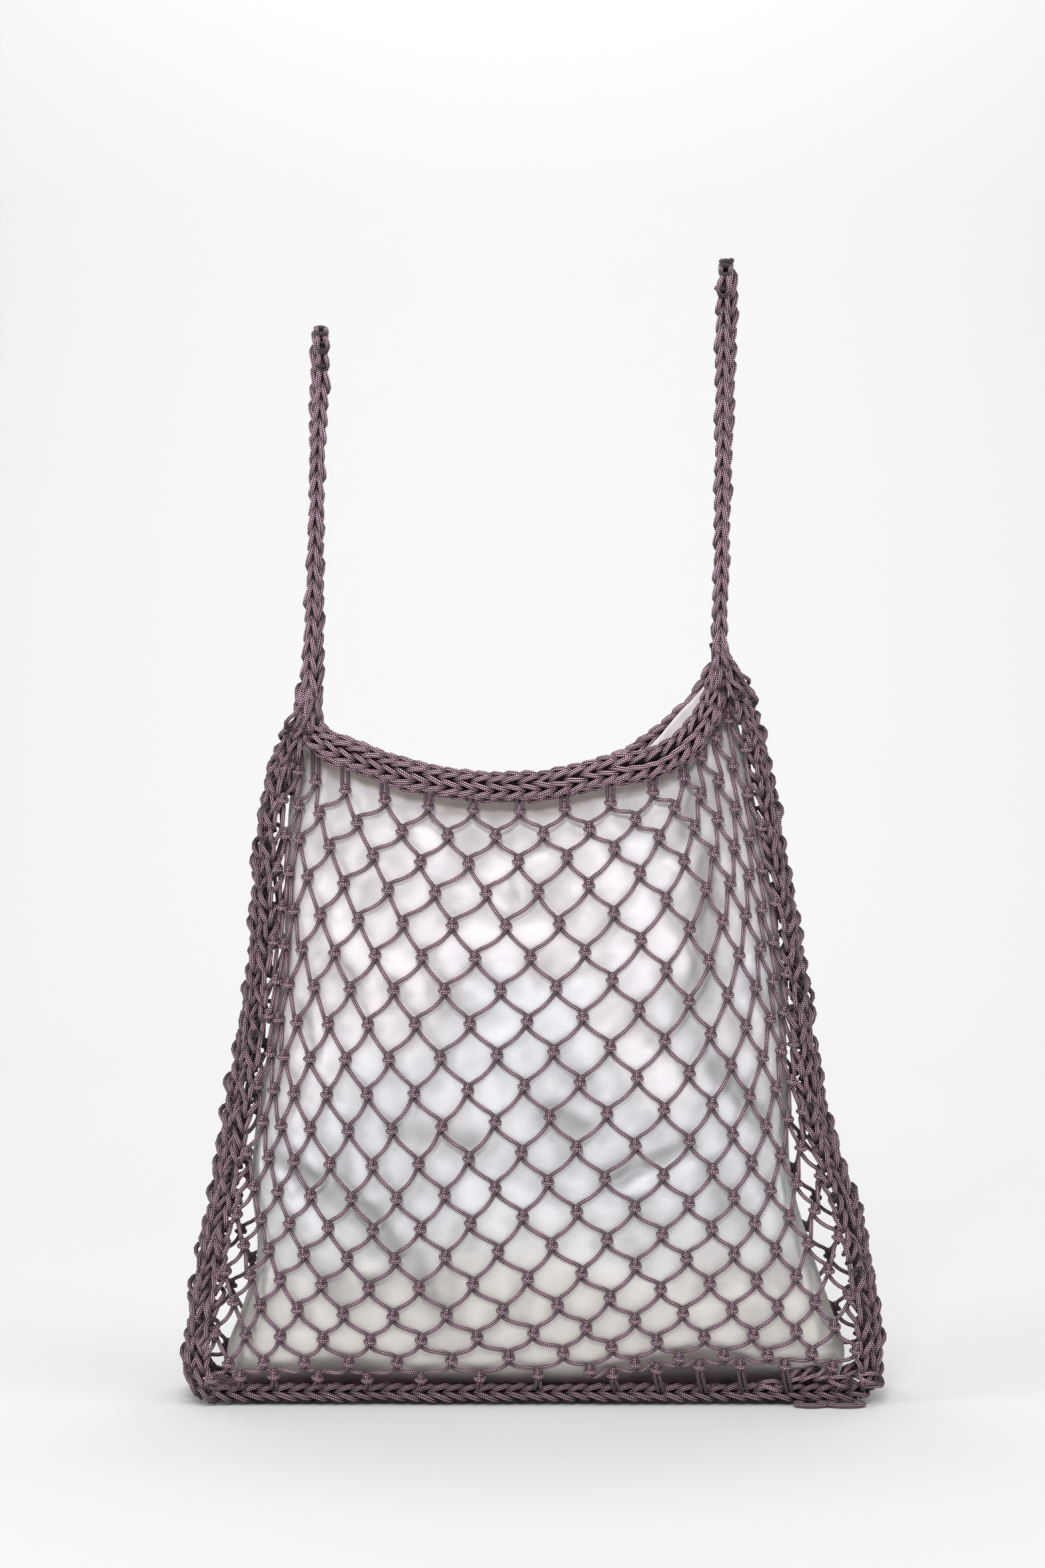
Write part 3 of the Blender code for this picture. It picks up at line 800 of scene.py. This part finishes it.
def base(name, wide_stitch, stitch):
    """The chained strip under the bag, with a standing chain along its front and back."""
    half = BASE_LENGTH / 2 - 5
    standing, under, core = [], [], []      # guides of the chains, and the cord inside them
    for sign in (-1, 1):
        y = sign * (CURB_LINE - 0.8)
        turn = [(-half - 1, y * 0.8, 14), (-half + 1.5, y * 0.9, 10.5), (-half + 10, y, 7.5)]
        route = turn + [(x, y, 6.3) for x in range(-160, 161, 16)]
        route += [(half - 12, y, 6.4), (half - 5, y * 0.9, 10), (half - 2, y * 0.8, 15)]
        facing = Vector((0, sign * 0.88, 0.47)).normalized()
        line = [place for place, ahead in band_line(route, 90)]
        standing.append([(place, facing, 1.0) for place in line[:-2]])
        core.append([Vector((place.x, place.y * 0.9, place.z - 0.6, 0.0)) for place in line[5:-5]])
    for y in (-20, -12, -4, 4, 12, 20):
        reach = half - 4 - abs(y) * 0.15
        row = [Vector((reach - (2 * reach - 10) * k / 30, y, 4.6)) for k in range(31)]
        under.append([(place, Vector((0, 0, 1)), 0.9) for place in row])
    gathered = []                           # a crowded row on top of the right front end
    for k in range(11):
        place = Vector((118 + 5 * k, 2 - CURB_LINE, 10.2 + 0.5 * k))
        gathered.append((place, Vector((0, -0.9, 0.3)), 0.8))
    strip = chains(name, standing, wide_stitch, BASE_CHAIN)
    floor = chains(name + "_floor", under, stitch, FLOOR_CHAIN)
    heap = chains(name + "_heap", [gathered], stitch, HEAP_CHAIN)
    loops = []                              # the cord's two loose loops in front of that end
    for middle, wide in ((144, 8), (162, 9.5)):
        turns = [2 * pi * k / 12 for k in range(1, 12)]
        # painted shade: the loops keep only 0.6 of their light
        loop = [(middle + wide * sin(turn), -33 + 5 * cos(turn), 1.7, 0.6) for turn in turns]
        loops.append(curve_through(loop, 3))
    ends = cords(name + "_ends", loops, CORD)
    return joined([strip, floor, heap, ends, cords(name + "_core", core, BASE_CORE, 6)])


LEFT_SHOULDER = [
    [(-116, -23, 374), (-119, -25, 363), (-125, -25, 351), (-130, -22, 339), (-133, -18, 327)],
    [(-113, -24, 366), (-115, -26, 357), (-119.5, -26, 347), (-125, -23, 336), (-127.5, -19, 326)],
    [(-116, -16, 368), (-121, -12, 357), (-127.5, -8, 345), (-133, -4, 330)],
    [(-116, 23, 372), (-118, 25, 361), (-123.5, 25, 350), (-129, 22, 338), (-132, 18, 326)],
]
RIGHT_SHOULDER = [
    [(97, -23, 397), (99.5, -25, 388), (105, -25, 380), (110.5, -24, 371), (113, -19, 358),
     (116, -16, 345)],
    [(97, -25, 390), (99, -28, 380), (104, -28, 372), (109, -25, 363), (111, -19, 350)],
    [(97, -16, 392), (103, -13, 385), (109, -9, 376), (113.5, -4, 362), (117, 0, 348)],
    [(97, 23, 395), (99.5, 25, 386), (105, 25, 379), (110.5, 23, 370), (113, 19, 356),
     (116, 16, 344)],
]


def shoulder(name, rows, stitch):
    """Rows of chain that run over from a strap's foot to the top of a gusset."""
    guides = []
    for row in rows:
        towards = Vector((0, -1 if row[0][1] < 0 else 1, 0))
        facing = (towards + Vector((0, 0, 0.3))).normalized()
        guides.append([(place, facing, 0.9) for place in curve_through(row, 6)])
    return chains(name, guides, stitch, SHOULDER_CHAIN)


def pouch_floor(x, sign):
    """Height of the lining's lower edge. Its front (sign -1) lifts off the base on the right."""
    if sign > 0:
        return 7.5
    lift = 12 * exp(-((x - 93) / 27) ** 2) + 4 * exp(-((x - 60) / 20) ** 2)
    return 9.5 + lift + 7 * exp(-((x + 100) / 30) ** 2)


def pouch_mouth(x, sign):
    """Height of the lining's upper edge. Near the right strap its back stands up a little."""
    height = read(RIM[2:-1], "z", x, "x") + 2 + band_shift(x, sign)
    if sign > 0:
        height += 4.5 * exp(-((x - 84) / 16) ** 2)
    return height


HEM = 17                 # how far the hem reaches down from the lining's edge
TUCK = 17                # how far up the lining narrows towards its floor
UNDERSIDE = (-2, 5.8)    # depth and height of the middle line that the lining's underside runs to
Fold = namedtuple("Fold", "x0 z0 x1 z1 width height")
# The main creases of the lining's front: where each runs, its width and how far it stands out.
FOLDS = [
    Fold(-61, 299, -46, 289, 4, 1.6), Fold(-11, 274, -8, 262, 1.8, -1),
    Fold(-7, 279, 6, 285, 2, 1.1), Fold(-24, 265, -14, 257, 2.5, 1),
    Fold(-90, 273, -79, 279, 2.5, 1), Fold(-2, 196, 11, 207, 2.2, 1),
    Fold(25, 267, 43, 275, 4, 1.6), Fold(84, 322, 81, 296, 2.5, -1.3),
    Fold(92, 286, 92, 258, 5, -1.6), Fold(92, 258, 86, 208, 6, -1.8), Fold(24, 230, 31, 234, 3, 1),
    Fold(71, 282, 80, 277, 2.5, 1), Fold(-13, 192, 23, 219, 3, 1.2),
    Fold(44, 118, 81, 135, 5, -1.6), Fold(46, 110, 80, 126, 4, 1.2),
    Fold(89, 181, 119, 150, 6, -1.6), Fold(17, 76, 66, 61, 5, 1.4), Fold(66, 61, 78, 48, 4, 1.2),
    Fold(78, 48, 109, 58, 4, 1.2), Fold(109, 58, 137, 53, 4, 1), Fold(-119, 104, -104, 90, 3, 1.6),
    Fold(-133, 120, -123, 114, 2.6, 1.4), Fold(-132, 127, -112, 116, 5, -1.6),
    Fold(-112, 116, -86, 99, 7, -2), Fold(-86, 99, -70, 82, 6, -1.8),
    Fold(-92, 72, -78, 72, 5, 1.5), Fold(-59, 78, -51, 52, 5, -1.3), Fold(-23, 172, -19, 148, 3, 1),
    Fold(-120, 207, -112, 183, 3.5, -1.2), Fold(-100, 240, -60, 222, 7, 1.2),
    Fold(-40, 236, 10, 246, 8, 1.2), Fold(40, 190, 70, 165, 8, 1.4), Fold(-30, 112, 10, 98, 7, 1.2),
    Fold(-70, 142, -30, 136, 8, -1.2), Fold(10, 150, 34, 140, 6, -1.2),
    Fold(58, 250, 74, 228, 6, 1.3),
]


def fold_height(x, z):
    """How far the listed folds push the front of the lining out (above 0) or in."""
    rise = 0.0
    for fold in FOLDS:
        along = Vector((fold.x1 - fold.x0, fold.z1 - fold.z0))
        offset = Vector((x - fold.x0, z - fold.z0))
        share = min(1, max(0, offset.dot(along) / along.length_squared))
        away = (offset - along * share).length / fold.width
        if away < 3:
            rise += fold.height * exp(-away * away) * (0.35 + 0.65 * sin(pi * (0.15 + 0.7 * share)))
    return rise


def gathers(x, below):
    """Fine pleats where the lining is sewn to the mouth band, which die out below it."""
    waves = sin(x * 0.83 + 2 * sin(x * 0.11)) + 0.7 * sin(x * 0.47 + below * 0.06 + 1)
    return waves * 0.5 * exp(-below / 16)


def crumple(x, z, sign, below):
    """How far all folds together push the lining out or in, at a distance below its upper edge."""
    soft = noise.noise(Vector((x / 34, sign * 3.1, z / 46))) * 1.6
    wide = Vector((x + z * 0.5, sign * 50, (z - x * 0.4) * 0.6)) / 24
    soft += 0.5 - abs(noise.noise(wide)) * 3
    fine = Vector((x - z * 0.7, 9 + sign, (z + x * 0.3) * 0.7)) / 11
    soft += 0.35 - abs(noise.noise(fine)) * 1.8
    if sign < 0:
        soft += fold_height(x, z) * 2.5
    soft += gathers(x * sign, below)
    return soft - 1.6 * exp(-((below - HEM) / 1.2) ** 2)


def lining(material):
    """The cotton pouch: one sheet, closed at the bottom and open between the two mouth bands."""
    around, rows = 280, 130
    points, hems, creases = [], [], []
    for row in range(rows + 1):
        part = row / rows
        level = pouch_floor(0, -1) + part * (rim_centre(0) - pouch_floor(0, -1))
        left = read(POUCH, "left", level + part * (RIM[2].z - rim_centre(0)))
        right = read(POUCH, "right", level + part * (RIM[-2].z - rim_centre(0)))
        middle, half = (left + right) / 2, (right - left) / 2
        for k in range(around):
            angle = 2 * pi * k / around
            share = cos(angle)
            x = middle + half * share
            sign = -1 if angle < pi else 1
            mouth, floor = pouch_mouth(x, sign), pouch_floor(x, sign)
            z = floor + part * (mouth - floor)
            depth = read(DEPTHS, "pouch", min(z, level + 14)) + 1.1
            tuck = 1 - min(1, (z - floor) / TUCK)
            y = depth * max(0.0, 1 - abs(share) ** 13) ** 0.5 * (1 - 0.5 * tuck ** 2)
            soft = crumple(x, z, sign, mouth - z)
            hem = 1.0 if sign < 0 and mouth - z < HEM else 0.0
            soft_share = min(1, 3 * part) * min(1, 6 * (1 - abs(share)))
            # it stays behind the net's knots and inside the mouth bands
            net = net_depth(x, z)
            limit = min(net - (1.9 if sign < 0 else 2.8), 16 + max(0, mouth - z - 12) * 0.6)
            y = sign * min(min(y, net - 3) + soft * soft_share + 0.3 * hem, limit)
            points.append((x, y, z))
            hems.append(hem)
            creases.append(soft)
    faces = []
    for row in range(rows):
        low, high = row * around, (row + 1) * around
        for k in range(around):
            after = (k + 1) % around
            faces.append((low + k, low + after, high + after, high + k))
    # the underside, in two halves that meet along its middle line
    half_way = around // 2
    below = [0] + list(range(len(points), len(points) + half_way - 1)) + [half_way]
    points += [(points[k][0], *UNDERSIDE) for k in range(1, half_way)]
    for k in range(half_way):
        for here, after in ((k, k + 1), ((around - k) % around, around - k - 1)):
            corners = [here, below[k], below[k + 1], after]
            if here > half_way or here == 0 and after > 1:
                corners.reverse()
            faces.append(list(dict.fromkeys(corners)))
    mesh = bpy.data.meshes.new("lining")
    mesh.from_pydata([Vector(point) * MM for point in points], [], faces)
    for label, values in (("hem", hems), ("crease_shade", creases)):
        layer = mesh.attributes.new(label, "FLOAT", "POINT")
        for item, value in zip(layer.data, values):
            item.value = value
    mesh.materials.append(material)
    mesh.shade_smooth()
    piece = placed("lining", mesh)
    thick = piece.modifiers.new("thickness", "SOLIDIFY")
    thick.thickness = CLOTH
    thick.offset = -1
    return piece


def new_material(name):
    """A material with its graph and its shader."""
    material = bpy.data.materials.new(name)
    material.use_nodes = True
    return material, Graph(material.node_tree), material.node_tree.nodes["Principled BSDF"]


def cord_material():
    """Braided cord: lilac flecks in herringbone columns over dark plum. The flecks are lighter
    strands with painted sheen; the grooves between them are painted near-black shade.
    """
    material, graph, surface = new_material("braided plum cord")
    place = graph.value("ShaderNodeUVMap", {"uv_map": "UVMap"})
    turn = graph.value("ShaderNodeSeparateXYZ", None, {0: place}, 0)
    along = graph.value("ShaderNodeSeparateXYZ", None, {0: place}, 1)
    column = turn * FLECK_COLUMNS
    inside = graph.math("FRACT", column) - 0.5
    other = graph.math("FLOORED_MODULO", graph.math("FLOOR", column), 2)
    lean = inside * (other * 2 - 1) * 0.5
    wave = graph.math("FRACT", along / FLECK_LENGTH + other * 0.5 + lean) - 0.5
    away = graph.math("SQRT", inside * inside * 1.4 + wave * wave * 1.2)
    light = 1 - graph.step(away, 0.2, 0.45)
    groove = graph.step(away, 0.42, 0.62)
    objects = graph.value("ShaderNodeTexCoord", out=3)
    cloudy = graph.clouds(objects, 35.0, 2.0)
    # the lilac flecks: lighter strands, with the braid's sheen painted in as highlight
    colour = graph.mix(light, PLUM, LILAC)
    # painted shade: the grooves between the strands are painted near-black
    colour = graph.mix(groove, colour, DARK_PLUM)
    worn = 0.8 + cloudy * 0.35 + graph.painted("tone") * 0.15
    # painted shade: the light that each point keeps darkens the colour, down to 8 % where cords lie
    # deep among others
    colour = graph.shade(colour, worn * (0.08 + graph.painted("light") * 0.92))
    bump = graph.value("ShaderNodeBump", None,
                       {"Strength": 0.8, "Distance": 0.3 * MM, "Height": light})
    graph.feed(surface, {"Base Color": colour, "Roughness": 0.55 - light * 0.22, "Normal": bump})
    return material


def cotton_material():
    """Thin white cotton with uneven threads and a beige hem, with painted light: warm floor bounce
    low down, cool and lilac light higher up.
    """
    material, graph, surface = new_material("white cotton voile")
    objects = graph.value("ShaderNodeTexCoord", out=3)
    height = graph.value("ShaderNodeSeparateXYZ", None, {0: objects}, 2)

    def threads(across, along):
        """Uneven threads: many to the metre across one way and few along them."""
        stretched = graph.value("ShaderNodeVectorMath", {"operation": "MULTIPLY"},
                                {0: objects, 1: (across, 60, along)})
        return graph.clouds(stretched, 1.0, 1.0)

    weave = threads(1500, 90) + threads(90, 1500)
    cloudy = graph.clouds(objects, 14.0, 2.0)
    # painted light: warm floor bounce low down, turning cool and then lilac higher up
    cool = graph.step(height + cloudy * 0.06, 0.08, 0.13)
    colour = graph.mix(cool, FLOOR_BOUNCE_COTTON, COOL_LIT_COTTON)
    lilac = graph.step(cloudy * 0.5 + height, 0.38, 0.52)
    colour = graph.mix(lilac, colour, LILAC_LIT_COTTON)
    # painted shade and light: darker in the troughs of the folds, lighter on their ridges
    colour = graph.shade(colour, 0.68 + graph.step(graph.painted("crease_shade"), -4.0, 1.2) * 0.4)
    colour = graph.mix(graph.painted("hem"), colour, BEIGE_HEM)
    colour = graph.shade(colour, 0.92 + weave * 0.08)
    bump = graph.value("ShaderNodeBump", None,
                       {"Strength": 0.25, "Distance": 0.2 * MM, "Height": weave})
    graph.feed(surface, {"Base Color": colour, "Roughness": 0.48, "Normal": bump})
    return material


def studio():
    """A pale sweep that curves up behind the bag, soft lights and the camera."""
    material, graph, surface = new_material("studio paper")
    graph.feed(surface, {"Base Color": (0.82, 0.82, 0.82, 1), "Roughness": 0.9})
    bend, back, front, wide, high = 1.2, 2.0, -3.4, 4.0, 4.2     # metres
    profile = [(front, 0.0), (back, 0.0)]
    for step in range(1, 17):
        angle = pi / 2 * step / 16
        profile.append((back + bend * sin(angle), bend * (1 - cos(angle))))
    profile.append((back + bend, high))
    points = [(side * wide, y, z) for y, z in profile for side in (-1, 1)]
    faces = [(2 * k, 2 * k + 1, 2 * k + 3, 2 * k + 2) for k in range(len(profile) - 1)]
    mesh = bpy.data.meshes.new("sweep")
    mesh.from_pydata(points, [], faces)
    mesh.materials.append(material)
    mesh.shade_smooth()
    sweep = placed("sweep", mesh)

    world = bpy.data.worlds.new("studio")
    bpy.context.scene.world = world
    world.use_nodes = True
    room = world.node_tree.nodes["Background"]
    Graph(world.node_tree).feed(room, {"Color": (1, 1, 1, 1), "Strength": ROOM_LIGHT})
    for box in SOFTBOXES:
        soft_light(*box)

    camera = placed("camera", bpy.data.cameras.new("camera"))
    camera.location = CAMERA_PLACE
    camera.rotation_euler = (pi / 2, 0, 0)
    camera.data.lens = CAMERA_LENS
    bpy.context.scene.camera = camera
    bpy.context.scene.view_settings.view_transform = "Standard"


def soft_light(name, place, size, power, target):
    """A square softbox that faces a target."""
    light = placed(name, bpy.data.lights.new(name, "AREA"))
    light.data.size = size
    light.data.energy = power
    light.location = place
    light.rotation_euler = (Vector(target) - Vector(place)).to_track_quat("-Z", "Y").to_euler()


studio()
CORD_LOOK = cord_material()
CORD_TREE = braided_cord_tree()
CHAIN_TREE = chain_tree()

# The last number scales each stitch's painted light: the same cord is painted lighter on the bands
# and straps and darker on the gussets and most of all on the base, as painted shade.
band_stitch = make_stitch("band_stitch", half_width=3.0, pitch=8.0, thickness=2.8, painted_brightness=1.2)
strap_stitch = make_stitch("strap_stitch", half_width=2.75, pitch=9.2, thickness=3.0,
                           painted_brightness=1.08)
gusset_stitch = make_stitch("gusset_stitch", half_width=3.1, pitch=7.8, thickness=2.65,
                            painted_brightness=0.85)
base_stitch = make_stitch("base_stitch", half_width=3.4, pitch=8.0, thickness=3.0, painted_brightness=0.62)

stands_for(cords("front_net", net_paths(-1), NET_CORD), "net_front")
stands_for(cords("back_net", net_paths(1), NET_CORD, 6), "net_back")
stands_for(rim("front_band", -1, band_stitch), "rim_front")
stands_for(rim("back_band", 1, band_stitch), "rim_back")
stands_for(strap("left_strap", LEFT_STRAP, strap_stitch, 0), "strap_left")
stands_for(strap("right_strap", RIGHT_STRAP, strap_stitch, 1), "strap_right")
for name, node, sign, rows in (("left_gusset", "gusset_left", -1, LEFT_SHOULDER),
                               ("right_gusset", "gusset_right", 1, RIGHT_SHOULDER)):
    side = [gusset(name, sign, gusset_stitch), shoulder(name + "_top", rows, gusset_stitch)]
    stands_for(joined(side), node)
stands_for(base("base_strip", base_stitch, band_stitch), "base")
pouch = lining(cotton_material())
stands_for(pouch, "pouch")

for stitch in (band_stitch, strap_stitch, gusset_stitch, base_stitch):
    bpy.data.objects.remove(stitch, do_unlink=True)
